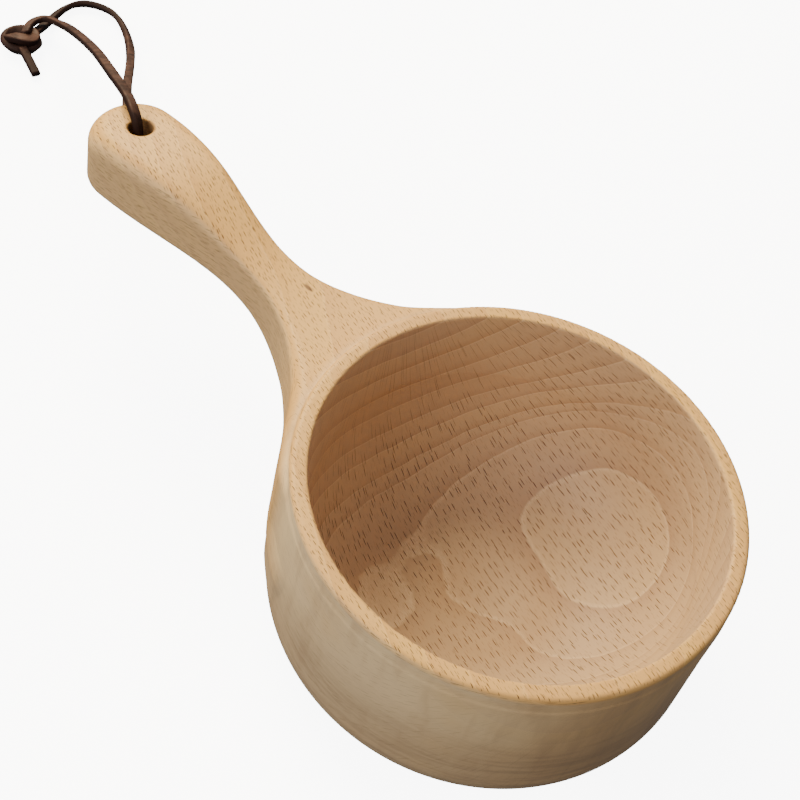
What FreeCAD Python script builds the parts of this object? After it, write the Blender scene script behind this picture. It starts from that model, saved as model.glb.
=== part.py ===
import FreeCAD, Part
import math
import os

# Hishaku water dipper: a turned beech bowl and its carved handle in one piece
# of wood, with a leather thong through the handle's hole.
# Millimetres, +Z up. The origin is the centre of the bowl's flat base, and
# the handle points along +X.

# Bowl, outside
bowl_radius = 59.0
bowl_height = 62.0
rim_draw_in = 0.9
base_corner_reach = 19.2
base_corner_share = 0.30
rim_outer_round = 1.6

# Bowl, inside
rim_wall = 4.4
wall_draft = 2.4
bottom_thickness = 8.5
hollow_corner_reach = 33.0
hollow_corner_share = 0.5
hollow_floor_dish = 1.2
rim_inner_round = 0.6

# Handle, seen from above
handle_length = 102.6
neck_width = 13.2
neck_share = 0.335
paddle_width = 25.8
paddle_round_length = 11.5
swell_share = 0.50
swell_width_share = 0.56
flare_angle = 41.0
flare_bite = 0.9
flare_pull_share = 0.28
neck_pull_share = 0.37

# Handle, seen from the side: its top line against the rim, and how far below
# the rim its bottom line is, as shares of the bowl's height
rim_step = 1.2
dip_depth = 2.4
crown_rise = 4.2
tip_rise = 0.6
cove_round = 14.0
cove_depth_share = 0.4435
haunch_run_in_share = 0.032
haunch_depth_share = 0.405
arch_depth_share = 0.300
heel_depth_share = 0.332

# Where those points are, as shares of the handle's length
dip_share = 0.25
crown_share = 0.62
haunch_share = 0.22
arch_share = 0.58

# Softened edges
top_edge_round = 4.8
under_edge_round = 4.2
haunch_blend = 18.0
root_fillet = 4.0

# Hanging hole
hole_diameter = 7.0
hole_setback = 15.0
hole_edge_round = 0.6

# Leather thong: one lace through the hole, both ends tied in one knot with
# one short tail. The front leg leaves by the top mouth, passes over the
# handle's tip and comes down to the table. The rear leg leaves by the bottom
# mouth and comes down beside it, and the knot lies on the table.
thong_diameter = 3.0
thong_bend_share = 0.45
front_leg_route = [
    (146.2, 0.2, 44.0),
    (147.4, -0.4, 54.0),
    (147.4, 0.7, 65.5),
    (152.2, -0.9, 69.2),
    (159.5, -4.2, 67.6),
    (172.5, -9.6, 61.5),
    (193.3, -20.6, 48.5),
    (218.3, -34.5, 30.0),
    (238.0, -44.5, 15.5),
    (250.0, -48.8, 8.5),
    (258.0, -49.0, 6.0),
    (261.8, -44.5, 5.2),
    (260.0, -39.0, 4.8),
    (254.5, -35.8, 5.0),
]
rear_leg_route = [
    (146.2, 0.2, 44.0),
    (145.3, 0.65, 36.5),
    (150.0, -2.8, 32.2),
    (162.0, -10.5, 31.2),
    (176.0, -20.0, 30.5),
    (197.4, -36.9, 25.0),
    (211.9, -50.2, 15.5),
    (226.4, -61.8, 7.0),
    (238.9, -69.4, 2.2),
    (247.5, -72.0, 1.6),
    (254.7, -71.2, 1.7),
    (259.4, -66.5, 1.6),
    (259.9, -59.5, 1.7),
    (257.6, -51.5, 2.0),
    (254.0, -44.0, 3.4),
    (252.8, -37.6, 4.6),
]
tail_route = [
    (250.0, -34.6, 4.2),
    (244.5, -33.4, 2.6),
    (238.0, -31.2, 1.7),
]
knot_place = (251.8, -35.4, 4.9)
knot_length = 13.4
knot_girth = 9.2
knot_turn = -35.0

overrun = 5.0

# Places that follow from these sizes
handle_tip = bowl_radius + handle_length
hole_place = handle_tip - hole_setback
rim_radius = bowl_radius - rim_draw_in
hollow_radius = rim_radius - rim_wall
hollow_floor = bottom_thickness + hollow_floor_dish
base_corner_height = base_corner_share * bowl_height
hollow_corner_height = hollow_corner_share * bowl_height
cove_depth = cove_depth_share * bowl_height


def vec(x, y, z=0.0):
    return FreeCAD.Vector(x, y, z)


def line(start, end):
    return Part.makeLine(start, end)


def arc(start, middle, end):
    return Part.Arc(start, middle, end).toShape()


def spline(points, start_direction, end_direction):
    """A smooth edge through the points that leaves and arrives as told."""
    curve = Part.BSplineCurve()
    curve.interpolate(Points=points, InitialTangent=start_direction, FinalTangent=end_direction)
    return curve.toShape()


def bezier(poles):
    curve = Part.BezierCurve()
    curve.setPoles(poles)
    return curve.toShape()


def quarter_oval(centre, first_axis, second_axis):
    """A quarter oval of two tangent arcs, or of one where the axes are equal."""
    first = centre + first_axis
    second = centre + second_axis
    if math.isclose(first_axis.Length, second_axis.Length):
        halfway = (first_axis + second_axis) * math.sqrt(0.5)
        return [arc(first, centre + halfway, second)]
    long_axis, short_axis = first_axis, second_axis
    if long_axis.Length < short_axis.Length:
        long_axis, short_axis = short_axis, long_axis
    chord = math.hypot(long_axis.Length, short_axis.Length)
    excess = long_axis.Length - short_axis.Length
    tight = chord * (chord - excess) / (2 * long_axis.Length)
    wide = chord * (chord + excess) / (2 * short_axis.Length)
    along = FreeCAD.Vector(long_axis).normalize()
    aside = FreeCAD.Vector(short_axis).normalize()
    tight_centre = centre + along * (long_axis.Length - tight)
    wide_centre = centre + aside * (short_axis.Length - wide)
    outward = (tight_centre - wide_centre).normalize()
    joint = wide_centre + outward * wide
    arcs = [
        arc(centre + long_axis, tight_centre + (outward + along).normalize() * tight, joint),
        arc(joint, wide_centre + (outward + aside).normalize() * wide, centre + short_axis),
    ]
    return arcs


def revolve_outline(edges):
    """A solid turned about the Z axis from its half outline in the XZ plane."""
    wire = Part.Wire(Part.sortEdges(edges)[0])
    return Part.Face(wire).revolve(vec(0, 0, 0), vec(0, 0, 1), 360)


def bowl_blank():
    """The bowl before it is hollowed: flat base, rolled corner, drawn-in rim."""
    base_edge = vec(bowl_radius - base_corner_reach, 0, 0)
    corner_centre = base_edge + vec(0, 0, base_corner_height)
    wall_foot = corner_centre + vec(base_corner_reach, 0, 0)
    wall_head = vec(rim_radius, 0, bowl_height - rim_outer_round)
    round_centre = wall_head - vec(rim_outer_round, 0, 0)
    edges = [
        line(vec(0, 0, 0), base_edge),
        *quarter_oval(corner_centre, vec(0, 0, -base_corner_height), vec(base_corner_reach, 0, 0)),
        line(wall_foot, wall_head),
        *quarter_oval(round_centre, vec(rim_outer_round, 0, 0), vec(0, 0, rim_outer_round)),
        line(round_centre + vec(0, 0, rim_outer_round), vec(0, 0, bowl_height)),
        line(vec(0, 0, bowl_height), vec(0, 0, 0)),
    ]
    return revolve_outline(edges)


def bowl_hollow():
    """What the turning tool takes out, with the rounded inner lip."""
    corner_side = hollow_radius - wall_draft
    corner_centre = vec(corner_side - hollow_corner_reach, 0, hollow_floor + hollow_corner_height)
    corner_foot = corner_centre - vec(0, 0, hollow_corner_height)
    wall_foot = corner_centre + vec(hollow_corner_reach, 0, 0)
    wall_head = vec(hollow_radius, 0, bowl_height - rim_inner_round)
    lip_centre = wall_head + vec(rim_inner_round, 0, 0)
    lip_top = lip_centre + vec(0, 0, rim_inner_round)
    edges = [
        spline([vec(0, 0, bottom_thickness), corner_foot], vec(1, 0, 0), vec(1, 0, 0)),
        *quarter_oval(corner_centre, vec(0, 0, -hollow_corner_height), vec(hollow_corner_reach, 0, 0)),
        line(wall_foot, wall_head),
        *quarter_oval(lip_centre, vec(-rim_inner_round, 0, 0), vec(0, 0, rim_inner_round)),
        line(lip_top, lip_top + vec(0, 0, overrun)),
        line(lip_top + vec(0, 0, overrun), vec(0, 0, bowl_height + overrun)),
        line(vec(0, 0, bowl_height + overrun), vec(0, 0, bottom_thickness)),
    ]
    return revolve_outline(edges)


def handle_plan():
    """The handle from above: flares off the bowl, neck, paddle, blunt tip."""
    bite_radius = bowl_radius - flare_bite
    angle = math.radians(flare_angle)
    neck_place = bowl_radius + neck_share * handle_length
    paddle_place = handle_tip - paddle_round_length
    swell_place = neck_place + swell_share * (paddle_place - neck_place)
    swell_half_width = (neck_width + swell_width_share * (paddle_width - neck_width)) / 2
    edges = []
    for side in (1, -1):
        def at(x, y):
            return vec(x, side * y, 0)
        flare_start = at(bite_radius * math.cos(angle), bite_radius * math.sin(angle))
        neck = at(neck_place, neck_width / 2)
        paddle = at(paddle_place, paddle_width / 2)
        reach = (neck - flare_start).Length
        flare_pull = flare_start + at(math.sin(angle), -math.cos(angle)) * (reach * flare_pull_share)
        neck_pull = neck - vec(reach * neck_pull_share, 0)
        edges.append(bezier([flare_start, flare_pull, neck_pull, neck]))
        edges.append(spline([neck, at(swell_place, swell_half_width), paddle], vec(1, 0, 0), vec(1, 0, 0)))
        edges += quarter_oval(at(paddle_place, 0), at(0, paddle_width / 2), vec(paddle_round_length, 0))
    root_half_width = bite_radius * math.sin(angle)
    root_place = bite_radius * math.cos(angle)
    edges.append(line(vec(root_place, -root_half_width), vec(root_place, root_half_width)))
    wire = Part.Wire(Part.sortEdges(edges)[0])
    return Part.Face(wire).extrude(vec(0, 0, bowl_height + overrun))


def handle_side():
    """The handle from the side: dip behind the rim, crown, arched underside."""
    def along(share, height):
        return vec(bowl_radius + share * handle_length, 0, height)
    root = bowl_radius * math.cos(math.radians(flare_angle)) - overrun
    level = vec(1, 0, 0)
    beyond_tip = vec(handle_tip + overrun, 0, 0)
    run_in_depth_share = cove_depth_share + haunch_run_in_share
    top = [
        vec(root, 0, bowl_height - rim_step),
        along(dip_share, bowl_height - dip_depth),
        along(crown_share, bowl_height + crown_rise),
        beyond_tip + vec(0, 0, bowl_height + tip_rise),
    ]
    bottom = [
        vec(bowl_radius - flare_bite + cove_round, 0, bowl_height * (1 - run_in_depth_share)),
        along(haunch_share, bowl_height * (1 - haunch_depth_share)),
        along(arch_share, bowl_height * (1 - arch_depth_share)),
        beyond_tip + vec(0, 0, bowl_height * (1 - heel_depth_share)),
    ]
    root_drop = cove_round + overrun
    edges = [
        spline(top, level, top[-1] - top[-2]),
        line(top[-1], bottom[-1]),
        spline(bottom, bottom[1] - bottom[0], bottom[-1] - bottom[-2]),
        line(bottom[0], bottom[0] - vec(0, 0, root_drop)),
        line(bottom[0] - vec(0, 0, root_drop), vec(root, 0, bottom[0].z - root_drop)),
        line(vec(root, 0, bottom[0].z - root_drop), top[0]),
    ]
    wire = Part.Wire(Part.sortEdges(edges)[0])
    half_span = bowl_radius + overrun
    outline = Part.Face(wire)
    outline.translate(vec(0, -half_span, 0))
    return outline.extrude(vec(0, 2 * half_span, 0))


def root_cove():
    """The space above the turned cove that blends the underside into the wall."""
    floor = bowl_height - cove_depth
    ceiling = bowl_height + crown_rise + overrun
    foot = vec(bowl_radius - flare_bite, 0, floor - cove_round)
    centre = foot + vec(cove_round, 0, 0)
    far = handle_tip + overrun
    edges = [
        line(vec(0, 0, foot.z), foot),
        *quarter_oval(centre, vec(-cove_round, 0, 0), vec(0, 0, cove_round)),
        line(centre + vec(0, 0, cove_round), vec(far, 0, floor)),
        line(vec(far, 0, floor), vec(far, 0, ceiling)),
        line(vec(far, 0, ceiling), vec(0, 0, ceiling)),
        line(vec(0, 0, ceiling), vec(0, 0, foot.z)),
    ]
    return revolve_outline(edges)


def steepness(shape, edge):
    """How far the faces at an edge lean from upright, least and most."""
    middle = edge.discretize(5)[2]
    leans = []
    for face in shape.Faces:
        for side in face.Edges:
            if side.isSame(edge):
                u, v = face.Surface.parameter(middle)
                leans.append(abs(face.normalAt(u, v).z))
    return min(leans), max(leans)


def crosses_under(edge, cove_floor):
    """True for the straight edge where the underside rises off the cove."""
    box = edge.BoundBox
    at_floor = abs(box.Center.z - cove_floor) < flare_bite
    return at_floor and box.XLength < flare_bite and box.YLength > neck_width / 2


def handle_blank():
    """The sawn handle with its long edges rounded over."""
    sawn = handle_plan().common(handle_side()).common(root_cove()).Solids[0]
    root_place = sawn.BoundBox.XMin
    middle_height = bowl_height - cove_depth / 2
    upright = 0.05
    across = [edge for edge in sawn.Edges if crosses_under(edge, bowl_height - cove_depth)]
    rounded = sawn.makeFillet(haunch_blend, across)
    for above, radius in ((True, top_edge_round), (False, under_edge_round)):
        picked = []
        for edge in rounded.Edges:
            least, most = steepness(rounded, edge)
            at_side = least < upright and most > upright
            clear_of_root = edge.BoundBox.XMax > root_place + overrun
            if at_side and clear_of_root and (edge.CenterOfMass.z > middle_height) == above:
                picked.append(edge)
        rounded = rounded.makeFillet(radius, picked)
    return rounded


def meets_bowl_wall(edge):
    """True for an edge where the handle meets the bowl's outer wall."""
    seam_band = flare_bite / 9
    box = edge.BoundBox
    if box.XMin < 0 or box.ZMax > bowl_height - rim_step / 2:
        return False
    points = edge.discretize(7)
    is_seam = max(abs(point.y) for point in points) < seam_band
    reach = max(math.hypot(point.x, point.y) for point in points)
    return reach < bowl_radius + seam_band and not is_seam


def is_hole_mouth(edge):
    """True for the two round edges where the hole leaves the handle."""
    box = edge.BoundBox
    off_centre = abs(box.Center.x - hole_place) + abs(box.Center.y)
    off_size = abs(box.XLength - hole_diameter) + abs(box.YLength - hole_diameter)
    return off_centre + off_size < hole_edge_round


def dipper_body():
    """Bowl and handle as one piece of wood, blended where they meet."""
    outside = bowl_blank().fuse(handle_blank())
    joint = [edge for edge in outside.Edges if meets_bowl_wall(edge)]
    outside = outside.makeFillet(root_fillet, joint)
    hole = Part.makeCylinder(hole_diameter / 2, 2 * bowl_height, vec(hole_place, 0, 0))
    body = outside.cut(bowl_hollow()).cut(hole)
    mouths = [edge for edge in body.Edges if is_hole_mouth(edge)]
    body = body.makeFillet(hole_edge_round, mouths)
    return body.Solids[0]


def lace(name, route):
    """A round lace along the route: straight runs joined by tangent arcs."""
    points = [vec(*point) for point in route]
    ring = Part.makeCircle(thong_diameter / 2, points[0], points[1] - points[0])
    skin = [Part.Face(Part.Wire(ring))]
    radii = []
    length = 0.0
    last = points[0]
    for before, corner, after in zip(points, points[1:], points[2:]):
        into = corner - before
        out = after - corner
        half_turn = into.getAngle(out) / 2
        trim = thong_bend_share * min(into.Length, out.Length)
        radii.append(trim / math.tan(half_turn))
        into.normalize()
        out.normalize()
        start = corner - into * trim
        end = corner + out * trim
        centre = corner + (out - into).normalize() * (radii[-1] / math.cos(half_turn))
        axis = into.cross(out)
        skin.append(ring.extrude(start - last))
        ring = ring.translated(start - last)
        skin.append(ring.copy().revolve(centre, axis, math.degrees(2 * half_turn)))
        ring = ring.rotated(centre, axis, math.degrees(2 * half_turn))
        length += (start - last).Length + radii[-1] * 2 * half_turn
        last = end
    skin.append(ring.extrude(points[-1] - last))
    ring = ring.translated(points[-1] - last)
    skin.append(Part.Face(Part.Wire(ring)))
    length += (points[-1] - last).Length
    shell = Part.makeShell(skin)
    shell.sewShape()
    tube = Part.makeSolid(shell)
    area = math.pi * thong_diameter ** 2 / 4
    share = tube.Volume / (area * length)
    print(name, "length", round(length, 1), "volume share", round(share, 4))
    print(name, "radii", [round(radius, 1) for radius in radii])
    return tube


def knot():
    """The overhand knot of both ends, as the oval space that it fills."""
    half = knot_length / 2
    girth = knot_girth / 2
    outline = [
        *quarter_oval(vec(0, 0, 0), vec(0, 0, -half), vec(girth, 0, 0)),
        *quarter_oval(vec(0, 0, 0), vec(girth, 0, 0), vec(0, 0, half)),
        line(vec(0, 0, half), vec(0, 0, -half)),
    ]
    oval = revolve_outline(outline)
    oval.rotate(vec(0, 0, 0), vec(0, 1, 0), 90)
    oval.rotate(vec(0, 0, 0), vec(0, 0, 1), knot_turn)
    oval.translate(vec(*knot_place))
    return oval


def main():
    os.makedirs("parts", exist_ok=True)
    pieces = {
        "dipper_body": dipper_body(),
        "thong_front_leg": lace("thong_front_leg", front_leg_route),
        "thong_rear_leg": lace("thong_rear_leg", rear_leg_route),
        "thong_knot": knot(),
        "thong_tail": lace("thong_tail", tail_route),
    }
    for name, shape in pieces.items():
        shape.exportStep("parts/" + name + ".step")
        print(name, shape.isValid(), len(shape.Solids), "solids", round(shape.Volume), "mm3")


main()
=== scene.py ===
"""Hishaku water dipper: a beech bowl and handle in one piece, with a leather thong.

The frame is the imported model, in metres, +Z up. The origin is the centre of
the bowl's flat base, and the handle points along +X. Sizes below are in
millimetres, as in the part's source.
"""

import math

import bpy
import numpy as np
from mathutils import Matrix, Vector


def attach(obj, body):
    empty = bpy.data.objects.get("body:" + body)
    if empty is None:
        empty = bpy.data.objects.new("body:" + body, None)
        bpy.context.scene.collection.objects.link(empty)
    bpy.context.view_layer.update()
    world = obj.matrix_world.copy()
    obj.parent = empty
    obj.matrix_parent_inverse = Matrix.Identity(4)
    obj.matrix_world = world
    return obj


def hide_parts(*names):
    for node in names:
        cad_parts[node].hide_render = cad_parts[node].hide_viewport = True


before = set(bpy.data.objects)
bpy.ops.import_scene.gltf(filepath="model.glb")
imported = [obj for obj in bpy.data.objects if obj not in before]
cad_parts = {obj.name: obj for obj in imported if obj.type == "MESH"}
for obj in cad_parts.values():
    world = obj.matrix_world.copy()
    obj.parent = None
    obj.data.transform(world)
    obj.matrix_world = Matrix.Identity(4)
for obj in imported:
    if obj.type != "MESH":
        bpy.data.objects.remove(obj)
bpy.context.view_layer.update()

MM = 0.001

# ---- Photo's camera: its place in mm and the directions of its axes ----
camera_place = (-89.66, 213.09, 368.55)
camera_right = (-0.69698, -0.69442, 0.17891)
camera_up = (0.6388, -0.48789, 0.59489)
camera_back = (-0.32582, 0.52892, 0.78364)
camera_lens = 69.75
camera_sensor = 36.0
camera_clip = 0.01

# ---- Dipper: the sizes of the part's source, trued to the photo ----
bowl_radius = 59.0
bowl_height = 62.0
rim_draw_in = 0.8
base_corner_reach = 19.2
base_corner_height = 0.30 * bowl_height
rim_outer_round = 1.4
rim_wall = 4.5
wall_draft = 2.4
bottom_thickness = 8.5
hollow_corner_reach = 33.0
hollow_corner_height = 0.5 * bowl_height
hollow_floor_dish = 1.2
rim_inner_round = 0.6
handle_length = 103.3
neck_width = 13.3
neck_share = 0.334
paddle_width = 25.8
paddle_round_length = 12.5
swell_share = 0.512
swell_width_share = 0.552
flare_angle = math.radians(43.8)
flare_bite = 0.45
flare_pull_share = 0.36
neck_pull_share = 0.353
rim_step = 1.45
dip_depth = 1.9
crown_rise = 4.5
tip_rise = 1.1
cove_round = 14.0
cove_depth = 0.4435 * bowl_height
run_in_depth = 33.5
haunch_depth = 24.9
arch_depth = 17.3
heel_depth = 20.8
dip_share = 0.38
crown_share = 0.628
haunch_share = 0.25
arch_share = 0.594
overrun = 5.0
hole_radius = 3.5
hole_setback = 15.0

# ---- Dipper, hand-softened edges ----
top_round_places = (50.0, 62.0, 75.0, 90.0, 105.0, 118.0, 135.0, 150.0)
top_round_sizes = (5.0, 4.2, 2.6, 2.0, 2.8, 3.8, 5.2, 6.0)
under_round_places = (58.0, 80.0, 110.0)
under_round_sizes = (7.0, 5.6, 4.6)
haunch_round = 9.0
rim_crease = 0.5
root_blend = 5.0
flank_blend = 6.4
hole_round = 0.7
crease_start = 3.0
crease_reach = 12.0
crease_growth = 0.6
root_start = 4.0
root_reach = 8.0
least_blend = 0.01
flank_inset = 0.5

# ---- Dipper, how its skin is meshed ----
flare_points = 28
skin_pitch = 0.95
skin_margin = 2.0
relax_rounds = 4
relax_share = 0.6
flattest_slope = 0.25
slope_step = 0.02
far_off = 1e9

handle_tip = bowl_radius + handle_length
hole_place = handle_tip - hole_setback
rim_radius = bowl_radius - rim_draw_in
hollow_radius = rim_radius - rim_wall
hollow_floor = bottom_thickness + hollow_floor_dish

# ---- Thong routes: the points of the part's source, moved to the photo's lines ----
front_leg_route = [
    (146.2, 0.2, 44.0),
    (147.4, -0.4, 54.0),
    (147.4, 0.7, 65.5),
    (152.2, -0.9, 69.2),
    (159.5, -4.2, 67.6),
    (172.5, -10.2, 61.5),
    (193.0, -21.8, 48.5),
    (217.7, -35.6, 30.0),
    (237.4, -45.6, 15.5),
    (248.0, -49.0, 8.5),
    (253.5, -48.9, 6.6),
    (254.7, -45.1, 6.2),
    (253.3, -41.1, 6.4),
    (250.5, -38.1, 6.8),
]
rear_leg_route = [
    (146.2, 0.2, 44.0),
    (145.3, 0.65, 36.5),
    (150.0, -2.8, 32.2),
    (162.0, -10.5, 31.2),
    (175.0, -19.6, 30.5),
    (196.0, -36.6, 25.0),
    (210.4, -50.2, 15.5),
    (224.8, -62.8, 7.0),
    (238.0, -71.2, 2.4),
    (247.0, -73.8, 2.0),
    (254.4, -70.8, 2.0),
    (258.2, -66.0, 2.0),
    (258.2, -59.7, 2.0),
    (255.9, -52.3, 2.0),
    (252.7, -45.6, 3.4),
    (250.9, -40.6, 4.6),
]
tail_route = [
    (247.6, -34.6, 4.2),
    (242.8, -33.8, 2.6),
    (236.9, -32.2, 1.6),
]
lace_width = 3.0
lace_thickness = 2.1
lace_edge_share = 0.28
lace_corner_steps = 3
route_fineness = 10

# The lace's roll: share of its length, then degrees of its flat side from level.
front_leg_rolls = [(0, 90), (0.12, 30), (0.3, 0), (0.82, 0), (0.92, 25), (1, 25)]
rear_leg_rolls = [
    (0, 90), (0.12, 40), (0.25, 0), (0.56, 0), (0.67, 45), (0.76, 56), (0.84, 56), (0.93, 20),
    (1, 0),
]
tail_rolls = [(0, 0), (1, 0)]
knot_rolls = [(0, 60), (0.25, 55), (0.42, 45), (0.55, 25), (0.66, -12), (0.76, 12), (1, 10)]

# Where a lace runs steeply, its flat side keeps its last way and has no level to follow.
steep_at_start = 0.2
steep_on_the_way = 0.35
level_pull = 0.25

# ---- Knot: a ring, a band over its middle and a low core, before it is turned ----
knot_place = (250.9, -36.2)
knot_turn = math.radians(-135.0)
knot_strip_width = 4.4
knot_strip_thickness = 2.5
knot_route = [
    (3.6, 3.2, 3.4),
    (5.9, 1.4, 2.8),
    (4.3, -1.5, 2.3),
    (0.3, -2.8, 2.1),
    (-3.8, -1.6, 2.3),
    (-5.3, 1.2, 2.9),
    (-3.8, 4.0, 3.8),
    (0.3, 5.1, 4.4),
    (3.6, 3.8, 4.8),
    (4.6, 1.6, 5.0),
    (3.4, -0.7, 5.6),
    (1.0, -1.3, 6.2),
    (-1.2, -0.8, 6.0),
    (-3.0, 0.2, 5.0),
    (-3.9, 1.2, 3.9),
    (-2.8, 1.4, 2.9),
    (-0.4, 0.9, 2.6),
    (2.4, 0.6, 2.8),
]


# ---- Camera ----
def place_camera():
    data = bpy.data.cameras.new("photo_camera")
    data.lens = camera_lens
    data.sensor_width = camera_sensor
    data.clip_start = camera_clip
    camera = bpy.data.objects.new("photo_camera", data)
    turn = Matrix((camera_right, camera_up, camera_back)).transposed().to_4x4()
    camera.matrix_world = Matrix.Translation(Vector(camera_place) * MM) @ turn
    bpy.context.scene.collection.objects.link(camera)
    bpy.context.scene.camera = camera


# ---- Meshes ----
def new_piece(name, verts, faces, material, smooth=True):
    mesh = bpy.data.meshes.new(name)
    mesh.from_pydata([tuple(v) for v in verts], [], [tuple(f) for f in faces])
    mesh.validate()
    mesh.shade_smooth() if smooth else mesh.shade_flat()
    piece = bpy.data.objects.new(name, mesh)
    bpy.context.scene.collection.objects.link(piece)
    mesh.materials.append(material)
    return piece


# ---- Lines of the handle ----
def clamped_spline(places, heights, first_slope, last_slope):
    """The smooth line through the points, with the slopes of its two ends."""
    places = np.asarray(places, float)
    heights = np.asarray(heights, float)
    steps = np.diff(places)
    count = len(places)
    system = np.zeros((count, count))
    right = np.zeros(count)
    system[0, 0] = system[-1, -1] = 1
    right[0] = first_slope
    right[-1] = last_slope
    for i in range(1, count - 1):
        system[i, i - 1] = 1 / steps[i - 1]
        system[i, i] = 2 / steps[i - 1] + 2 / steps[i]
        system[i, i + 1] = 1 / steps[i]
        before = (heights[i] - heights[i - 1]) / steps[i - 1] ** 2
        after = (heights[i + 1] - heights[i]) / steps[i] ** 2
        right[i] = 3 * (before + after)
    slopes = np.linalg.solve(system, right)
    return places, heights, slopes


def along_spline(spline, at):
    """Height and slope of a line at the places asked for."""
    places, heights, slopes = spline
    at = np.clip(at, places[0], places[-1])
    i = np.clip(np.searchsorted(places, at, side="right") - 1, 0, len(places) - 2)
    step = places[i + 1] - places[i]
    t = (at - places[i]) / step
    height = (
        (2 * t**3 - 3 * t**2 + 1) * heights[i]
        + (t**3 - 2 * t**2 + t) * step * slopes[i]
        + (3 * t**2 - 2 * t**3) * heights[i + 1]
        + (t**3 - t**2) * step * slopes[i + 1]
    )
    slope = (
        (6 * t**2 - 6 * t) * (heights[i] - heights[i + 1]) / step
        + (3 * t**2 - 4 * t + 1) * slopes[i]
        + (3 * t**2 - 2 * t) * slopes[i + 1]
    )
    return height, slope


def half_width_line():
    """Half the handle's width from the flare's root to the paddle's widest place."""
    bite_radius = bowl_radius - flare_bite
    start = bite_radius * np.array((math.cos(flare_angle), math.sin(flare_angle)))
    off_bowl = np.array((math.sin(flare_angle), -math.cos(flare_angle)))
    neck = np.array((bowl_radius + neck_share * handle_length, neck_width / 2))
    reach = np.linalg.norm(neck - start)
    pull = start + off_bowl * reach * flare_pull_share
    near_neck = neck - np.array((reach * neck_pull_share, 0))
    t = np.linspace(0, 1, flare_points)[:, None]
    u = 1 - t
    curve = u**3 * start + 3 * u**2 * t * pull + 3 * u * t**2 * near_neck + t**3 * neck
    rise = u**2 * (pull - start) + 2 * u * t * (near_neck - pull) + t**2 * (neck - near_neck)
    places = list(curve[:, 0])
    widths = list(curve[:, 1])
    slopes = list(rise[:, 1] / rise[:, 0])
    paddle_place = handle_tip - paddle_round_length
    swell_place = neck[0] + swell_share * (paddle_place - neck[0])
    swell = (neck_width + swell_width_share * (paddle_width - neck_width)) / 2
    swell_places = (neck[0], swell_place, paddle_place)
    swelling = clamped_spline(swell_places, (neck[1], swell, paddle_width / 2), 0, 0)
    places += list(swelling[0][1:])
    widths += list(swelling[1][1:])
    slopes += list(swelling[2][1:])
    return np.array(places), np.array(widths), np.array(slopes)


def top_line():
    root = bowl_radius * math.cos(flare_angle) - overrun
    dip_place, crown_place = (
        bowl_radius + share * handle_length for share in (dip_share, crown_share)
    )
    places = (root, dip_place, crown_place, handle_tip + overrun)
    rises = (-rim_step, -dip_depth, crown_rise, tip_rise)
    heights = [bowl_height + rise for rise in rises]
    end_slope = (heights[-1] - heights[-2]) / (places[-1] - places[-2])
    return clamped_spline(places, heights, 0, end_slope)


def under_line():
    cove_end = bowl_radius - flare_bite + cove_round
    haunch_place, arch_place = (
        bowl_radius + share * handle_length for share in (haunch_share, arch_share)
    )
    places = (cove_end, haunch_place, arch_place, handle_tip + overrun)
    depths = (run_in_depth, haunch_depth, arch_depth, heel_depth)
    heights = [bowl_height - depth for depth in depths]
    slopes = [(heights[i + 1] - heights[i]) / (places[i + 1] - places[i]) for i in (0, 2)]
    line = clamped_spline(places, heights, slopes[0], slopes[1])
    run_up = 30.0
    return (
        np.concatenate(([cove_end - run_up], line[0])),
        np.concatenate(([heights[0] - slopes[0] * run_up], line[1])),
        np.concatenate(([slopes[0]], line[2])),
    )


# ---- Turned outlines: each run is (start, end) or (start, end, centre) ----
def quarter_oval(centre, first, second):
    """Two tangent arcs from centre + first to centre + second."""
    centre, first, second = (np.array(p, float) for p in (centre, first, second))
    a, b = np.linalg.norm(first), np.linalg.norm(second)
    if abs(a - b) < 1e-9:
        return [(centre + first, centre + second, centre)]
    swapped = a < b
    far, near = (second, first) if swapped else (first, second)
    a, b = max(a, b), min(a, b)
    chord = math.hypot(a, b)
    tight = chord * (chord - (a - b)) / (2 * a)
    wide = chord * (chord + (a - b)) / (2 * b)
    tight_centre = centre + far / a * (a - tight)
    wide_centre = centre + near / b * (b - wide)
    outward = (tight_centre - wide_centre) / np.linalg.norm(tight_centre - wide_centre)
    joint = wide_centre + outward * wide
    arcs = [(centre + far, joint, tight_centre), (joint, centre + near, wide_centre)]
    if swapped:
        arcs = [(end, start, middle) for start, end, middle in reversed(arcs)]
    return arcs


def bowl_outline():
    wall_foot = (bowl_radius, base_corner_height)
    wall_head = (rim_radius, bowl_height - rim_outer_round)
    corner = (bowl_radius - base_corner_reach, base_corner_height)
    round_centre = (rim_radius - rim_outer_round, bowl_height - rim_outer_round)
    runs = [((0, 0), (corner[0], 0))]
    runs += quarter_oval(corner, (0, -base_corner_height), (base_corner_reach, 0))
    runs += [(wall_foot, wall_head)]
    runs += quarter_oval(round_centre, (rim_outer_round, 0), (0, rim_outer_round))
    runs += [((round_centre[0], bowl_height), (0, bowl_height))]
    return runs


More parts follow.
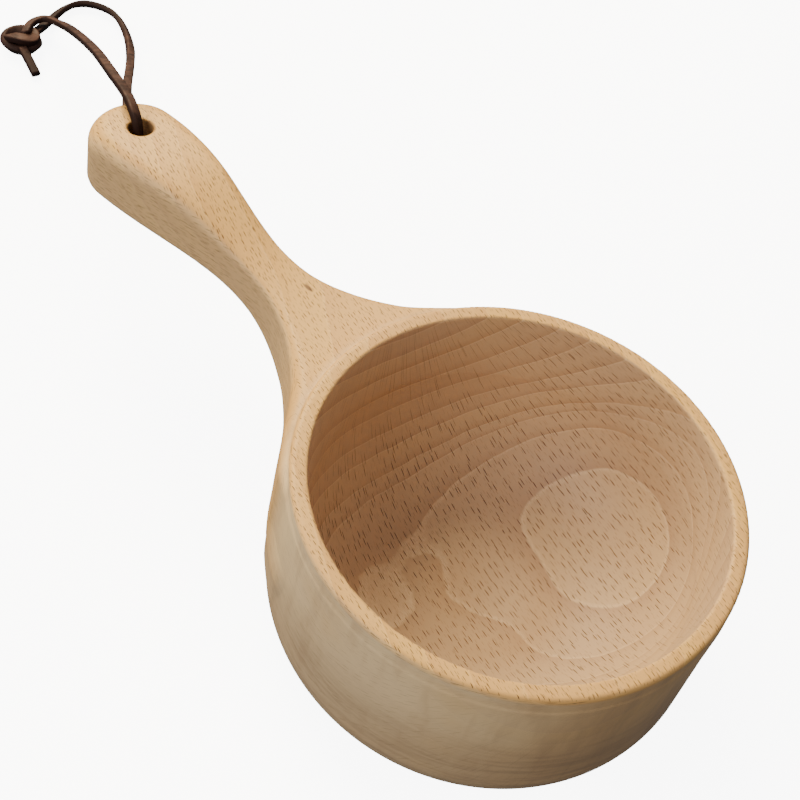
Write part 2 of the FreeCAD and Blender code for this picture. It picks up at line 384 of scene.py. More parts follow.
def hollow_outline():
    corner_side = hollow_radius - wall_draft
    corner = (corner_side - hollow_corner_reach, hollow_floor + hollow_corner_height)
    half = corner[0] / 2
    rise = hollow_floor_dish / 2
    dish = (half**2 + rise**2) / (2 * rise)
    middle = (half, bottom_thickness + rise)
    lip = (hollow_radius + rim_inner_round, bowl_height - rim_inner_round)
    runs = [
        ((0, bottom_thickness), middle, (0, bottom_thickness + dish)),
        (middle, (corner[0], hollow_floor), (corner[0], hollow_floor - dish)),
    ]
    runs += quarter_oval(corner, (0, -hollow_corner_height), (hollow_corner_reach, 0))
    runs += [((corner_side, corner[1]), (hollow_radius, lip[1]))]
    runs += quarter_oval(lip, (-rim_inner_round, 0), (0, rim_inner_round))
    runs += [((lip[0], bowl_height), (lip[0], bowl_height + 2 * overrun))]
    return runs


def outline_distance(runs, r, z):
    """Signed distance to a turned outline, positive on its right-hand side."""
    best = np.full(r.shape, far_off)
    side = np.ones(r.shape)
    for run in runs:
        start, end = np.array(run[0], float), np.array(run[1], float)
        if len(run) == 2:
            way = end - start
            share = ((r - start[0]) * way[0] + (z - start[1]) * way[1]) / (way @ way)
            share = np.clip(share, 0, 1)
            gap = np.hypot(r - start[0] - share * way[0], z - start[1] - share * way[1])
            turn = -(way[0] * (z - start[1]) - way[1] * (r - start[0]))
        else:
            centre = np.array(run[2], float)
            to_start, to_end = start - centre, end - centre
            spin = math.copysign(1, to_start[0] * to_end[1] - to_start[1] * to_end[0])
            radius = np.linalg.norm(to_start)
            reach = np.hypot(r - centre[0], z - centre[1])
            after = spin * (to_start[0] * (z - centre[1]) - to_start[1] * (r - centre[0])) >= 0
            ahead = spin * ((r - centre[0]) * to_end[1] - (z - centre[1]) * to_end[0]) >= 0
            gap = np.where(after & ahead, np.abs(reach - radius), far_off)
            turn = spin * (reach - radius)
        nearer = gap < best
        best = np.where(nearer, gap, best)
        side = np.where(nearer, np.sign(turn), side)
    return best * side


# ---- Dipper as a distance field ----
def soft_cut(a, b, rounding):
    """The part inside both, with its edge rounded."""
    inner = np.minimum(np.maximum(a, b), -rounding)
    return inner + np.hypot(np.maximum(a + rounding, 0), np.maximum(b + rounding, 0))


def soft_join(a, b, blend):
    """Both parts as one, with the corner between them filled."""
    outer = np.maximum(np.minimum(a, b), blend)
    return outer - np.hypot(np.maximum(blend - a, 0), np.maximum(blend - b, 0))


WIDTHS = half_width_line()
TOP = top_line()
UNDER = under_line()
BOWL = bowl_outline()
HOLLOW = hollow_outline()


def handle_field(x, y, z, r):
    """The handle, and how far a point lies outside its plan outline."""
    width, slope = along_spline(WIDTHS, x)
    sides = (np.abs(y) - width) / np.sqrt(1 + slope**2)
    paddle_place = handle_tip - paddle_round_length
    stretch = paddle_width / 2 / paddle_round_length
    tip = np.hypot((x - paddle_place) * stretch, y) - paddle_width / 2
    sides = np.where(x > paddle_place, tip, sides)
    root = bowl_radius * math.cos(flare_angle) - overrun
    outside = np.maximum(sides, root - x)
    sides = soft_join(outside, r - bowl_radius + flank_inset, flank_blend)
    height, slope = along_spline(TOP, x)
    top = (z - height) / np.sqrt(1 + slope**2)
    height, slope = along_spline(UNDER, x)
    under = (height - z) / np.sqrt(1 + slope**2)
    floor = bowl_height - cove_depth
    foot = floor - cove_round
    cove_end = bowl_radius - flare_bite + cove_round
    ring = cove_round - np.hypot(r - cove_end, np.maximum(z - foot, 0))
    cove = np.where(r < cove_end, np.maximum(ring, foot - z), floor - z)
    beneath = soft_cut(under, cove, haunch_round)
    under_round = np.interp(x, under_round_places, under_round_sizes)
    top_round = np.interp(x, top_round_places, top_round_sizes)
    return soft_cut(soft_cut(sides, beneath, under_round), top, top_round), outside


def dipper_field(points):
    """Signed distance to the wood's surface in mm, negative inside."""
    x, y, z = points[..., 0], points[..., 1], points[..., 2]
    r = np.hypot(x, y)
    bowl = outline_distance(BOWL, r, z)
    hollow = outline_distance(HOLLOW, r, z)
    handle, outside = handle_field(x, y, z, r)
    lowness = np.clip((bowl_height - crease_start - z) / crease_reach, 0, 1)
    under = np.clip((bowl_height - cove_depth + root_start - z) / root_reach, 0, 1)
    nearness = np.clip(2 - outside / flank_blend, 0, 1)
    joint = rim_crease + lowness * crease_growth + under * root_blend
    body = soft_join(bowl, handle, least_blend + nearness * joint)
    body = np.maximum(body, -hollow)
    hole = hole_radius - np.hypot(x - hole_place, y)
    return soft_cut(body, hole, hole_round)


def surface_net(low, high, pitch):
    """Quads around the field's zero surface, one point to each crossed cell."""
    counts = [int(math.ceil((h - l) / pitch)) + 1 for l, h in zip(low, high)]
    axes = [l + pitch * np.arange(n) for l, n in zip(low, counts)]
    field = np.empty(counts)
    for i, x in enumerate(axes[0]):
        grid = np.stack(np.meshgrid([x], axes[1], axes[2], indexing="ij"), -1)
        field[i] = dipper_field(grid)[0]
    inside = field < 0
    nx, ny, nz = (n - 1 for n in counts)
    corners = [(i, j, k) for i in (0, 1) for j in (0, 1) for k in (0, 1)]
    total = sum(inside[i:i + nx, j:j + ny, k:k + nz].astype(np.int8) for i, j, k in corners)
    crossed = (total > 0) & (total < 8)
    index = np.full(crossed.shape, -1)
    index[crossed] = np.arange(crossed.sum())
    cells = np.argwhere(crossed)
    place = np.zeros((len(cells), 3))
    hits = np.zeros(len(cells))
    for a in corners:
        for b in corners:
            if sum(b) - sum(a) != 1 or sum(abs(p - q) for p, q in zip(a, b)) != 1:
                continue
            at = tuple((cells + a).T)
            to = tuple((cells + b).T)
            first, last = field[at], field[to]
            cut = (first < 0) != (last < 0)
            share = np.where(cut, first / np.where(cut, first - last, 1), 0)
            step = np.array(b) - np.array(a)
            place += np.where(cut[:, None], np.array(a) + share[:, None] * step, 0)
            hits += cut
    points = (cells + place / hits[:, None]) * pitch + np.array(low)
    quads = []
    for axis in range(3):
        u, v = [k for k in range(3) if k != axis]
        ahead = [slice(None)] * 3
        behind = [slice(None)] * 3
        ahead[axis] = slice(1, None)
        behind[axis] = slice(None, -1)
        change = inside[tuple(behind)] != inside[tuple(ahead)]
        spots = np.argwhere(change)
        spots = spots[(spots[:, u] > 0) & (spots[:, v] > 0)]
        spots = spots[(spots[:, u] < counts[u] - 1) & (spots[:, v] < counts[v] - 1)]
        ring = []
        for du, dv in ((-1, -1), (0, -1), (0, 0), (-1, 0)):
            cell = spots.copy()
            cell[:, u] += du
            cell[:, v] += dv
            ring.append(index[tuple(cell.T)])
        ring = np.stack(ring, 1)
        flip = inside[tuple(spots.T)] == (axis == 1)
        ring[flip] = ring[flip][:, ::-1]
        quads.append(ring)
    return points, np.concatenate(quads)


def field_slope(points):
    slope = np.empty_like(points)
    for axis in range(3):
        shift = np.zeros(3)
        shift[axis] = slope_step
        rise = dipper_field(points + shift) - dipper_field(points - shift)
        slope[:, axis] = rise / (2 * slope_step)
    return slope


def settle(points):
    """Moves points onto the field's zero surface."""
    slope = field_slope(points)
    size = np.maximum((slope**2).sum(1, keepdims=True), flattest_slope)
    return points - dipper_field(points)[:, None] * slope / size


def relax(points, quads):
    """Evens out the quads without leaving the surface."""
    pairs = np.concatenate([quads[:, [i, (i + 1) % 4]] for i in range(4)])
    for _ in range(relax_rounds):
        total = np.zeros_like(points)
        count = np.zeros(len(points))
        np.add.at(total, pairs[:, 0], points[pairs[:, 1]])
        np.add.at(total, pairs[:, 1], points[pairs[:, 0]])
        np.add.at(count, pairs.ravel(), 1)
        points = settle(points + relax_share * (total / count[:, None] - points))
    return points


def carve_dipper(material):
    low = np.array((-bowl_radius, -bowl_radius, 0.0)) - skin_margin
    high = np.array((handle_tip, bowl_radius, bowl_height + crown_rise)) + skin_margin
    points, quads = surface_net(low, high, skin_pitch)
    points = settle(settle(points))
    points = settle(relax(points, quads))
    piece = new_piece("dipper_wood", points * MM, quads.tolist(), material)
    normals = field_slope(points)
    normals /= np.linalg.norm(normals, axis=1, keepdims=True)
    piece.data.normals_split_custom_set_from_vertices([tuple(n) for n in normals])
    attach(piece, "dipper")
    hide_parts("dipper_body")


# ---- Laces ----
def route_curve(name, route):
    curve = bpy.data.curves.new(name, "CURVE")
    curve.dimensions = "3D"
    curve.resolution_u = route_fineness
    spline = curve.splines.new("NURBS")
    spline.points.add(len(route) - 1)
    for point, place in zip(spline.points, route):
        point.co = (place[0] * MM, place[1] * MM, place[2] * MM, 1)
    spline.order_u = 3
    spline.use_endpoint_u = True
    return curve


def route_points(name, route):
    """Points along the route's smooth line, in metres."""
    holder = bpy.data.objects.new(name, route_curve(name, route))
    bpy.context.scene.collection.objects.link(holder)
    mesh = bpy.data.meshes.new_from_object(holder)
    points = [v.co.copy() for v in mesh.vertices]
    bpy.data.objects.remove(holder)
    bpy.data.meshes.remove(mesh)
    return points


def lace_section(width, thickness, corner):
    """A flat strip's section with rounded corners."""
    points = []
    for side_u, side_v, start in ((1, 1, 0), (-1, 1, 90), (-1, -1, 180), (1, -1, 270)):
        for i in range(lace_corner_steps + 1):
            angle = math.radians(start + 90 * i / lace_corner_steps)
            u = side_u * (width / 2 - corner) + corner * math.cos(angle)
            v = side_v * (thickness / 2 - corner) + corner * math.sin(angle)
            points.append((u, v))
    return points


def sweep_lace(name, points, rolls, width, thickness, material):
    """A flat strip along the points, closed at both ends."""
    lengths = [0.0]
    for a, b in zip(points, points[1:]):
        lengths.append(lengths[-1] + (b - a).length)
    shares, angles = zip(*rolls)
    section = lace_section(width * MM, thickness * MM, lace_edge_share * thickness * MM)
    ring = len(section)
    end = len(points) - 1
    verts, faces = [], []
    side = None
    for i, place in enumerate(points):
        way = (points[min(i + 1, end)] - points[max(i - 1, 0)]).normalized()
        level = way.cross(Vector((0, 0, 1)))
        if side is None:
            side = level if level.length > steep_at_start else Vector((0, 1, 0))
        side = (side - way * side.dot(way)).normalized()
        if level.length > steep_on_the_way:
            level.normalize()
            if level.dot(side) < 0:
                level = -level
            side = side.lerp(level, level_pull)
            side = (side - way * side.dot(way)).normalized()
        roll = math.radians(np.interp(lengths[i] / lengths[-1], shares, angles))
        across = (Matrix.Rotation(roll, 3, way) @ side).normalized()
        up = across.cross(way).normalized()
        for u, v in section:
            verts.append(place + across * u + up * v)
    for i in range(end):
        here, ahead = i * ring, (i + 1) * ring
        for k in range(ring):
            m = (k + 1) % ring
            faces.append((here + k, here + m, ahead + m, ahead + k))
    faces.append(tuple(range(ring))[::-1])
    faces.append(tuple(end * ring + k for k in range(ring)))
    return new_piece(name, verts, faces, material)


def hang_thong(material):
    front = route_points("front_route", front_leg_route)
    rear = route_points("rear_route", rear_leg_route)
    tail = route_points("tail_route", tail_route)
    lace = (lace_width, lace_thickness, material)
    front_piece = sweep_lace("thong_front", front, front_leg_rolls, *lace)
    rear_piece = sweep_lace("thong_rear", rear, rear_leg_rolls, *lace)
    tail_piece = sweep_lace("thong_tail_end", tail, tail_rolls, *lace)
    knot = tie_knot(material)
    nodes = (
        (front_piece, "thong_front_leg"),
        (rear_piece, "thong_rear_leg"),
        (tail_piece, "thong_tail"),
        (knot, "thong_knot"),
    )
    for piece, node in nodes:
        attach(piece, "thong")
        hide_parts(node)


def tie_knot(material):
    """The drawn-up overhand knot: the lace wound round, then over itself."""
    turn = Matrix.Rotation(knot_turn, 3, "Z")
    places = [turn @ Vector(place) + Vector((*knot_place, 0)) for place in knot_route]
    points = route_points("knot_route", places)
    strip = (knot_strip_width, knot_strip_thickness, material)
    return sweep_lace("thong_overhand_knot", points, knot_rolls, *strip)


# ---- Materials ----
class Field:
    """A value in a node tree, with the operators that add its Math nodes."""

    def __init__(self, bench, socket):
        self.bench = bench
        self.socket = socket

    def math(self, operation, *values, clamp=False):
        settings = {"operation": operation, "use_clamp": clamp}
        return self.bench.node("ShaderNodeMath", settings, [self, *values])

    def __add__(self, other):
        return self.math("ADD", other)

    __radd__ = __add__

    def __mul__(self, other):
        return self.math("MULTIPLY", other)

    __rmul__ = __mul__

    def __sub__(self, other):
        return self.math("SUBTRACT", other)

    def __rsub__(self, other):
        return self.bench.node("ShaderNodeMath", {"operation": "SUBTRACT"}, [other, self])

    def __truediv__(self, other):
        return self.math("DIVIDE", other)

    def __rtruediv__(self, other):
        return self.bench.node("ShaderNodeMath", {"operation": "DIVIDE"}, [other, self])

    def __pow__(self, other):
        return self.math("POWER", other)

    def clipped(self):
        return self.math("ADD", 0, clamp=True)

    def between(self, low, high):
        """0 at low and 1 at high, eased, also where low is the larger."""
        values = {"Value": self, "From Min": low, "From Max": high}
        eased = {"interpolation_type": "SMOOTHSTEP"}
        return self.bench.node("ShaderNodeMapRange", eased, values, "Result")

    def from_to(self, low, high, first, last):
        """first at low and last at high, in a straight line."""
        values = {"Value": self, "From Min": low, "From Max": high, "To Min": first, "To Max": last}
        return self.bench.node("ShaderNodeMapRange", {}, values, "Result")


class Bench:
    """A node tree, filled by calls that add its nodes."""

    def __init__(self, tree):
        self.tree = tree

    def node(self, kind, settings, values, output=0):
        """One node: its settings first, then values or links for its sockets."""
        made = self.tree.nodes.new(kind)
        for name, value in settings.items():
            if name == "stops":
                self.set_stops(made.color_ramp, value)
            elif name == "curve":
                self.set_curve(made.mapping, value)
            else:
                setattr(made, name, value)
        pairs = values.items() if isinstance(values, dict) else enumerate(values)
        for key, value in pairs:
            self.feed(made.inputs[key], value)
        return Field(self, made.outputs[output])

    def feed(self, socket, value):
        if isinstance(value, Field):
            self.tree.links.new(value.socket, socket)
        else:
            socket.default_value = value

    def set_stops(self, ramp, stops):
        while len(ramp.elements) > 1:
            ramp.elements.remove(ramp.elements[-1])
        for i, (place, tone) in enumerate(stops):
            stop = ramp.elements[0] if i == 0 else ramp.elements.new(place)
            stop.position = place
            stop.color = (tone, tone, tone, 1)

    def set_curve(self, mapping, points):
        line = mapping.curves[0]
        while len(line.points) > 2:
            line.points.remove(line.points[1])
        line.points[0].location = points[0]
        line.points[-1].location = points[-1]
        for place in points[1:-1]:
            line.points.new(*place)
        for point in line.points:
            point.handle_type = "VECTOR"
        mapping.update()

    def place(self, kind):
        """Where a point is, or the way its surface faces, by the socket's name."""
        return self.node("ShaderNodeTexCoord", {}, [], kind)

    def parts(self, value, kind="ShaderNodeSeparateXYZ"):
        split = self.node(kind, {}, [value])
        return [Field(self, out) for out in split.socket.node.outputs]

    def red(self, colour):
        return self.parts(colour, "ShaderNodeSeparateColor")[0]

    def vector(self, x, y, z):
        return self.node("ShaderNodeCombineXYZ", {}, [x, y, z])

    def mix(self, share, first, second):
        return self.node("ShaderNodeMix", {"data_type": "FLOAT"}, {0: share, 2: first, 3: second})

    def colour_mix(self, share, first, second):
        first, second = ((*c, 1) if isinstance(c, tuple) else c for c in (first, second))
        values = {0: share, 6: first, 7: second}
        return self.node("ShaderNodeMix", {"data_type": "RGBA"}, values, 2)

    def noise(self, place, scale, detail=2.0, roughness=0.5):
        values = {"Vector": place, "Scale": scale, "Detail": detail, "Roughness": roughness}
        return self.node("ShaderNodeTexNoise", {"noise_dimensions": "3D"}, values)

    def cells(self, place, output, dimensions="2D"):
        settings = {"feature": "F1", "voronoi_dimensions": dimensions}
        values = {"Vector": place, "Scale": 1.0, "Randomness": cell_randomness}
        return self.node("ShaderNodeTexVoronoi", settings, values, output)

    def bump(self, height, distance, strength):
        values = {"Height": height, "Distance": distance, "Strength": strength}
        return self.node("ShaderNodeBump", {}, values)


class Finish(Bench):
    """One material: the nodes that feed its Principled shader."""

    def __init__(self, name):
        self.material = bpy.data.materials.new(name)
        self.material.use_nodes = True
        super().__init__(self.material.node_tree)
        self.shader = next(n for n in self.tree.nodes if n.type == "BSDF_PRINCIPLED")

    def set(self, **values):
        for name, value in values.items():
            self.feed(self.shader.inputs[name.replace("_", " ")], value)


# ---- Beech, in mm; colours are linear red, green and blue ----
cell_randomness = 0.95
grain_slope = -0.22
grain_unit = math.hypot(1, grain_slope)

# The pith runs above the bowl, turned a little from the handle.
pith_side = 13.5
pith_height = 92.6
pith_side_slope = -0.457
pith_height_slope = 0.069
ring_radii = (
    24.0, 30.0, 36.5, 43.0, 49.2, 57.0, 63.3, 69.6, 73.6, 77.8, 79.9, 84.0, 90.3,
    97.5, 103.0, 109.0, 117.0,
)
# One year's growth: share of its width, then how pale it is.
year_stops = [
    (0.0, 0.90), (0.045, 0.66), (0.30, 0.60), (0.62, 0.50), (0.90, 0.20), (0.97, 0.08), (1.0, 0.90),
]

# Ray dashes: step along the grain, step across it, length, width.
bowl_dashes = (3.3, 1.9, 2.7, 0.235)
bowl_small_dashes = (2.2, 1.1, 1.5, 0.17)
top_dashes = (2.5, 1.2, 1.8, 0.20)
top_small_dashes = (1.9, 0.9, 1.2, 0.15)
side_dashes = (4.0, 1.6, 3.2, 0.24)
side_small_dashes = (2.4, 1.0, 1.6, 0.20)
small_dash_shift = 40.0
ray_centre_side = 5.0
ray_centre_height = 95.0
ray_turn_radius = 84.0

knot_mark_place = (81.0, -3.0)
knot_mark_stretch = 0.16
knot_mark_edge = (0.85, 0.35)
hole_shade_edge = (4.3, 3.4)

# Zones, each as (where it is 0, where it is 1), by radius, height or place.
inner_wall_radius = (54.3, 53.5)
bowl_floor_height = (7.0, 8.5)
below_rim = (60.5, 58.0)
off_handle = (60.0, 54.0)
outer_wall_radius = (61.0, 58.5)
outer_wall_top = (61.2, 59.6)
# Painted light on the outer wall's lit side, by y in mm.
lit_wall_side = (20.0, 55.0)
# Painted shade low on the outer wall, by height in mm.
low_wall_shade = (50.0, 22.0)
handle_top = (40.0, 45.0)
facing_up_share = (0.50, 0.80)
facing_side_share = (0.55, 0.90)
flat_cut_share = (0.35, 0.85)

# Drawn-out noises, in cells to the mm along each of their three ways.
fibre_cells = (0.10, 1.6, 1.6)
pore_cells = (0.9, 5.0, 5.0)
thread_cells = (0.030, 0.4, 1.9)
thread_lean = 0.10
break_cells = (0.25, 0.25, 0.25)
streak_cells = (0.05, 0.05, 0.55)
mottle_cells = (0.13, 0.13, 0.03)
# Even noises, in cells to the metre.
wander_scale, ripple_scale, jag_scale = 22.0, 90.0, 420.0
blotch_scale, ring_fade_scale, rosy_scale = 26.0, 14.0, 17.0
# How far the first three move a ring, in mm.
wander_reach, ripple_reach, jag_reach = 1.9, 0.55, 0.18
# How strongly each of these shows in the wood's tone.
fibre_tone, pore_tone, blotch_tone, thread_tone = 0.24, 0.12, 0.26, 1.9
middle_tone = 0.40
ray_strength, small_ray_strength = 1.1, 0.62
grain_relief = 0.00006
grain_relief_strength = 0.6
wood_roughness = 0.50
wood_gloss = 0.28

wood_pale = (0.79, 0.45, 0.122)
wood_deep = (0.50, 0.240, 0.062)
wood_rosy = (0.62, 0.325, 0.125)
# Painted shade: inside the bowl the same beech is painted darker and cooler.
bowl_shaded_pale = (0.60, 0.395, 0.200)
bowl_shaded_deep = (0.345, 0.185, 0.085)
bowl_shaded_rosy = (0.44, 0.28, 0.17)
wall_tint = (0.62, 0.425, 0.235)
# Painted light: the outer wall's side towards the lights is paler.
wall_lit_side_tint = (0.84, 0.64, 0.36)
# Painted shade low on the outer wall, streaked.
wall_low_shade_tint = (0.25, 0.155, 0.085)
wall_mottle_tint = (0.34, 0.205, 0.105)
handle_side_tint = (0.76, 0.57, 0.33)
ring_edge_tint = (0.86, 0.60, 0.34)
# The knot mark's own dark tint, also used for the painted shade round the hole.
mark_and_hole_shade_tint = (0.12, 0.050, 0.020)
small_ray_tint = (0.11, 0.046, 0.017)
ray_tint = (0.035, 0.014, 0.006)


def square(value):
    return value * value


def drawn_out(finish, ways, cells, detail, roughness=0.5):
    """Noise with its own number of cells to the mm along each way."""
    place = finish.vector(*(way * count for way, count in zip(ways, cells)))
    return finish.noise(place, 1.0, detail, roughness)


def growth_years(finish, place, x, y, z):
    """Years counted outwards from the pith, wavy as in a real board."""
    wander = finish.noise(place, wander_scale) - 0.5
    ripple = finish.noise(place, ripple_scale) - 0.5
    jag = finish.noise(place, jag_scale, 1.0) - 0.5
    from_pith_y = y - pith_side - x * pith_side_slope
    from_pith_z = z - pith_height - x * pith_height_slope
    depth = (square(from_pith_y) + square(from_pith_z)) ** 0.5
    depth = depth + wander * wander_reach + ripple * ripple_reach + jag * jag_reach
    low, high = ring_radii[0], ring_radii[-1]
    years = len(ring_radii) - 1
    curve = [((radius - low) / (high - low), i / years) for i, radius in enumerate(ring_radii)]
    share = (depth - low) / (high - low)
    return finish.node("ShaderNodeFloatCurve", {"curve": curve}, {"Value": share}) * years


def dashes(finish, along, spread, layer):
    """Short dark ovals, one in each cell of a scattered grid."""
    step_along, step_across, length, width = layer
    spot = finish.vector(along / step_along, spread / step_across, 0.0)
    near = finish.parts(finish.cells(spot, "Position"))
    gap_along = (along - near[0] * step_along) * (2 / length)
    gap_across = (spread - near[1] * step_across) * (2 / width)
    chance = finish.red(finish.cells(spot, "Color"))
    oval = (square(gap_along) + square(gap_across)).between(1.0, 0.45)
    return oval * chance.between(0.0, 0.45)


def beech_finish():
    """Pale steamed beech: growth rings, rays as short dashes, fine fibre."""
    finish = Finish("beech_satin")
    place = finish.place("Object")
    facing = finish.parts(finish.place("Normal"))
    x, y, z = (part * 1000 for part in finish.parts(place))
    radius = (square(x) + square(y)) ** 0.5
    along = (x + y * grain_slope) / grain_unit
    across = (y - x * grain_slope) / grain_unit

    # Zones of the dipper, each 0 to 1.
    in_bowl = radius.between(*inner_wall_radius) * z.between(*bowl_floor_height)
    bowl_zone = in_bowl.math("MAXIMUM", z.between(*below_rim) * x.between(*off_handle))
    outer_wall = radius.between(*outer_wall_radius) * (1 - in_bowl) * z.between(*outer_wall_top)
    upward = facing[2].math("ABSOLUTE").between(*facing_up_share)
    side_on = facing[1].math("ABSOLUTE").between(*facing_side_share) * (1 - bowl_zone)

    # Fibre and clouding.
    grain_ways = (along, across, z)
    fibre = drawn_out(finish, grain_ways, fibre_cells, 3.0, 0.6) - 0.5
    pores = drawn_out(finish, grain_ways, pore_cells, 2.0, 0.6) - 0.5
    breaks = drawn_out(finish, grain_ways, break_cells, 1.0)
    leaning = z + x * (thread_lean / thread_cells[2])
    threads = drawn_out(finish, (x, y, leaning), thread_cells, 3.0, 0.65) - 0.5
    blotch = finish.noise(place, blotch_scale, 3.0) - 0.5
    streaks = drawn_out(finish, (x, y, z), streak_cells, 3.0, 0.6)
    mottle = drawn_out(finish, (x, y, z), mottle_cells, 3.0, 0.6)

    # Growth rings.
    years = growth_years(finish, place, x, y, z)
    ring = years.math("FRACT")
    ring_tone = finish.red(finish.node("ShaderNodeValToRGB", {"stops": year_stops}, [ring]))
    ring_strength = finish.noise(place, ring_fade_scale, 1.0).between(0.3, 0.65) * 0.6 + 0.4
    ring_edge = (ring.between(0.07, 0.01) + ring.between(0.975, 0.995)).clipped()
    year_number = {"W": years.math("FLOOR") + 0.5}
    year = finish.node("ShaderNodeTexWhiteNoise", {"noise_dimensions": "1D"}, year_number)

    # Rays fan out from a line above the bowl, and show most on flat-cut wood.
    ray_side = y - x * grain_slope - ray_centre_side
    ray_drop = ray_centre_height - z
    ray_turn = ray_side.math("ARCTAN2", ray_drop) * ray_turn_radius
    ray_reach = (square(ray_side) + square(ray_drop)) ** 0.5
    head_on = (facing[1] * ray_side - facing[2] * ray_drop).math("ABSOLUTE") / ray_reach
    flat_grain = head_on.between(*flat_cut_share) * 0.55 + 0.45
    shift = small_dash_shift
    bowl_rays = dashes(finish, along, ray_turn, bowl_dashes) * flat_grain
    bowl_small = dashes(finish, along, ray_turn + shift, bowl_small_dashes) * flat_grain * 0.6
    top_rays = dashes(finish, along, across, top_dashes)
    top_small = dashes(finish, along, across + shift, top_small_dashes)
    side_rays = dashes(finish, along, z * 1.15 + x * 0.10, side_dashes) * 0.6
    side_small = dashes(finish, along, z + x * 0.05 + shift, side_small_dashes) * 0.8
    rays = finish.mix(bowl_zone, finish.mix(upward, side_rays, top_rays), bowl_rays)
    small_rays = finish.mix(bowl_zone, finish.mix(upward, side_small, top_small), bowl_small)
    rays = rays * (breaks.between(0.30, 0.60) * 0.3 + 0.7) * (1 - outer_wall * 0.75)
    small_rays = small_rays * (1 - outer_wall * 0.6)

    # The wood's own colour, then its tints from place to place: painted shade inside the bowl and
    # low on the outer wall, painted light on the wall's lit side.
    ring_share = ring_strength * (0.74 + in_bowl * 0.36 + side_on * 0.4)
    shade = (ring_tone - 0.5) * ring_share + side_on * threads * thread_tone
    shade = shade + fibre * fibre_tone + pores * pore_tone + blotch * blotch_tone
    # Painted shade: inside the bowl the wood takes the darker, cooler bowl colours.
    pale = finish.colour_mix(in_bowl, wood_pale, bowl_shaded_pale)
    deep = finish.colour_mix(in_bowl, wood_deep, bowl_shaded_deep)
    rosy = finish.colour_mix(in_bowl, wood_rosy, bowl_shaded_rosy)
    rosy_share = finish.noise(place, rosy_scale).between(0.45, 0.7) * 0.25 + year * 0.30
    # Painted light: the outer wall paler on its +y side, where the light falls, broken up by
    # blotches.
    lit_wall_share = outer_wall * y.between(*lit_wall_side) * blotch.between(-0.25, 0.15)
    edge_share = ring_edge * pores.between(-0.10, 0.12) * (in_bowl * 0.08 + 0.14)
    # Painted shade: the outer wall darker towards its foot, streaked by noise.
    low_shade_share = 0.46 + streaks.between(0.40, 0.66) * 0.22
    low_shade_share = outer_wall * z.between(*low_wall_shade) * low_shade_share
    colour = finish.colour_mix((middle_tone - shade).clipped(), pale, deep)
    colour = finish.colour_mix(rosy_share, colour, rosy)
    colour = finish.colour_mix(outer_wall * 0.4, colour, wall_tint)
    colour = finish.colour_mix(lit_wall_share * 0.6, colour, wall_lit_side_tint)
    colour = finish.colour_mix(side_on * 0.35, colour, handle_side_tint)
    colour = finish.colour_mix(edge_share, colour, ring_edge_tint)
    colour = finish.colour_mix(low_shade_share, colour, wall_low_shade_tint)
    mottle_share = outer_wall * mottle.between(0.45, 0.68) * 0.28
    colour = finish.colour_mix(mottle_share, colour, wall_mottle_tint)

    # A small knot mark behind the rim, and painted shade at the edge of the hole.
    mark_along, mark_across = x - knot_mark_place[0], y - knot_mark_place[1]
    mark_gap = (square(mark_along) * knot_mark_stretch + square(mark_across)) ** 0.5
    mark_share = mark_gap.between(*knot_mark_edge) * z.between(*handle_top) * 0.85
    hole_gap = (square(x - hole_place) + square(y)) ** 0.5
    colour = finish.colour_mix(mark_share, colour, mark_and_hole_shade_tint)
    colour = finish.colour_mix(hole_gap.between(*hole_shade_edge) * 0.7, colour, mark_and_hole_shade_tint)
    colour = finish.colour_mix((small_rays * small_ray_strength).clipped(), colour, small_ray_tint)
    colour = finish.colour_mix((rays * ray_strength).clipped(), colour, ray_tint)

    height = fibre * 0.25 + pores * 0.30 - rays * 0.8 - small_rays * 0.3
    finish.set(
        Base_Color=colour,
        Roughness=wood_roughness + fibre * 0.15 + rays * 0.2,
        Normal=finish.bump(height, grain_relief, grain_relief_strength),
        Specular_IOR_Level=wood_gloss,
    )
    return finish.material


# ---- Leather ----
leather_dark = (0.019, 0.0074, 0.0048)
# The paler tone stands for worn leather and for painted top light together.
leather_worn_lit_tone = (0.108, 0.050, 0.032)
# Cells to the metre of the grain, of the wear and of its patches.
leather_grain_scale, wear_scale, patch_scale = 2600.0, 260.0, 70.0
# Painted light with wear: only what lies above the table and faces up is made paler, as if lit from
# above, in worn patches.
lit_height = (2.5, 6.5)
lit_facing = (0.35, 0.95)
wear_and_light_strength = 0.85
leather_roughness = 0.62
rub_polish = 0.16
leather_gloss = 0.13
leather_relief = 0.00010
leather_relief_strength = 0.5


def leather_finish():
    """Dark brown leather lace, with painted light: paler in worn patches on its upward faces above
    the table.
    """
    finish = Finish("thong_leather")
    place = finish.place("Object")
    close_up = {0: place, "Scale": leather_grain_scale}
    close_up = finish.node("ShaderNodeVectorMath", {"operation": "SCALE"}, close_up)
    grain = finish.cells(close_up, "Distance", "3D")
    worn = finish.noise(place, wear_scale, 4.0, 0.65)
    patch = finish.noise(place, patch_scale)
    lit_from_above = finish.parts(finish.place("Normal"))[2].between(*lit_facing)
    above_table_lit = (finish.parts(place)[2] * 1000).between(*lit_height)
    wear = worn.between(0.30, 0.70) * 0.75 + patch.between(0.35, 0.70) * 0.25
    # Painted light with wear: paler where raised faces look up, as if lit from above.
    wear_and_top_light = wear_and_light_strength * above_table_lit * lit_from_above * wear
    relief = grain * 0.5 + worn * 0.8
    finish.set(
        Base_Color=finish.colour_mix(wear_and_top_light.clipped(), leather_dark, leather_worn_lit_tone),
        Roughness=leather_roughness - wear_and_top_light * rub_polish,
        Normal=finish.bump(relief, leather_relief, leather_relief_strength),
        Specular_IOR_Level=leather_gloss,
    )
    return finish.material


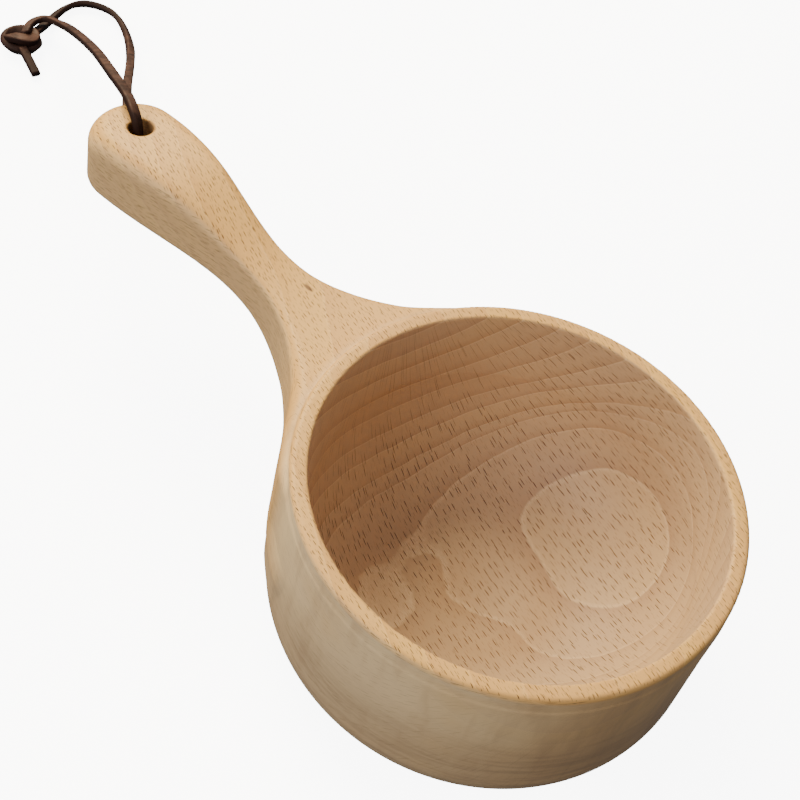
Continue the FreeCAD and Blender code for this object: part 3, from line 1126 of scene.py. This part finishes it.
# ---- Room, in metres ----
floor_reach = 12.0
floor_white = (0.93, 0.93, 0.93, 1)
floor_glow = 8.0
room_colour = (0.92, 0.98, 1.12, 1)
# The room's light: from and to which height or side, and how strong at each.
room_rise = (-0.15, 0.25, 0.16, 0.50)
room_side = (-0.8, 0.8, 0.85, 1.05)
light_aim = Vector((0.05, 0, 0.03))
# Lights: name, place, size, power, colour.
key_light = ("key_light", (1.04, -0.32, 0.97), 1.0, 46.0, (1.0, 0.90, 0.62))
fill_light = ("fill_light", (0.35, 1.05, 0.85), 0.9, 13.0, (1.0, 0.97, 0.93))


def floor_finish():
    finish = Finish("pale_floor")
    finish.set(
        Base_Color=floor_white, Roughness=0.9, Specular_IOR_Level=0.0,
        Emission_Color=(1, 1, 1, 1), Emission_Strength=floor_glow,
    )
    return finish.material


def lay_floor():
    """A glowing white floor that lights nothing and shows in no reflection."""
    turns = ((-1, -1), (1, -1), (1, 1), (-1, 1))
    verts = [(side * floor_reach, end * floor_reach, 0) for side, end in turns]
    floor = new_piece("floor", verts, [(0, 1, 2, 3)], floor_finish(), smooth=False)
    floor.visible_diffuse = False
    floor.visible_glossy = False


def hang_light(name, place, size, power, colour):
    data = bpy.data.lights.new(name, "AREA")
    data.shape = "DISK"
    data.size = size
    data.energy = power
    data.color = colour
    lamp = bpy.data.objects.new(name, data)
    lamp.location = place
    lamp.rotation_euler = (light_aim - Vector(place)).to_track_quat("-Z", "Y").to_euler()
    bpy.context.scene.collection.objects.link(lamp)


def light_room():
    """Brighter from above and from the handle's side, with a warm key light."""
    world = bpy.data.worlds.new("studio")
    world.use_nodes = True
    room = Bench(world.node_tree)
    way = room.parts(room.place("Generated"))
    background = world.node_tree.nodes["Background"]
    strength = way[2].from_to(*room_rise) * way[0].from_to(*room_side)
    room.feed(background.inputs["Strength"], strength)
    room.feed(background.inputs["Color"], room_colour)
    bpy.context.scene.world = world
    hang_light(*key_light)
    hang_light(*fill_light)


place_camera()
hang_thong(leather_finish())
carve_dipper(beech_finish())
lay_floor()
light_room()
